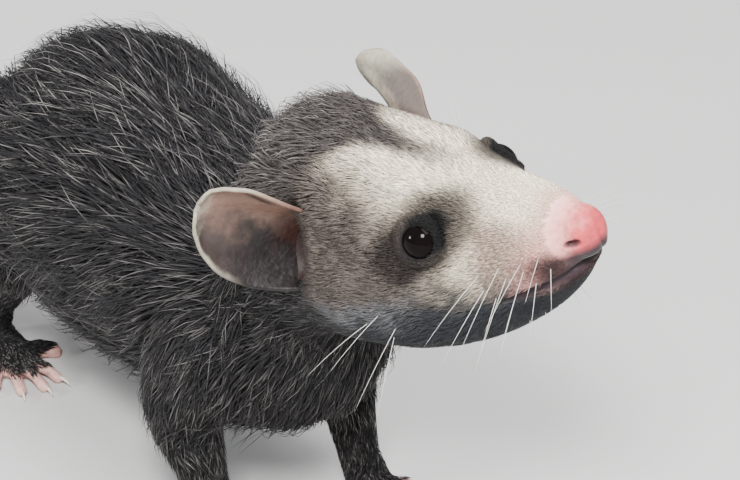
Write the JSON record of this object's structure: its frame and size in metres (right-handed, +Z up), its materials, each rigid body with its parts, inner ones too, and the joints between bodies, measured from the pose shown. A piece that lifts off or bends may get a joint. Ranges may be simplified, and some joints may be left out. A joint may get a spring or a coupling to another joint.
{
  "type": "young virginia opossum standing still",
  "caption": "Still life-size model of a young Virginia opossum standing on all fours, head raised and tilted, bare tail laid along the floor.",
  "frame": {"origin": "middle of the floor area that the animal covers, at floor level", "axes": "+Z up from the floor, -Y the way the body faces, +X the animal's left side"},
  "size_m": [0.1164, 0.2748, 0.103],
  "materials": {
    "face_fur": "short soft fur, cream white with a cool grey cheek, matt",
    "body_fur": "dense woolly dark grey fur with long pale guard hairs, matt",
    "leg_fur": "short near-black fur, matt",
    "pink_skin": "bare pink skin, slightly moist at the nose",
    "ear_skin": "thin bare ear skin, brown-pink with a cream rim, satin",
    "tail_skin": "bare finely scaled tail skin, dark at the root and pink-grey beyond, satin",
    "eye": "glossy black eye"
  },
  "bodies": {
    "root": {"ear_left": "ear_skin", "ear_right": "ear_skin", "eye_left": "eye", "eye_right": "eye", "forefoot_left": "pink_skin", "forefoot_right": "pink_skin", "foreleg_left": "leg_fur", "foreleg_right": "leg_fur", "head": "face_fur", "hindfoot_left": "pink_skin", "hindfoot_right": "pink_skin", "hindleg_left": "leg_fur", "hindleg_right": "leg_fur", "jaw": "face_fur", "neck": "body_fur", "nose": "pink_skin", "tail_1": "tail_skin", "tail_2": "tail_skin", "tail_3": "tail_skin", "tail_4": "tail_skin", "tail_5": "tail_skin", "torso": "body_fur"}
  },
  "joints": []
}
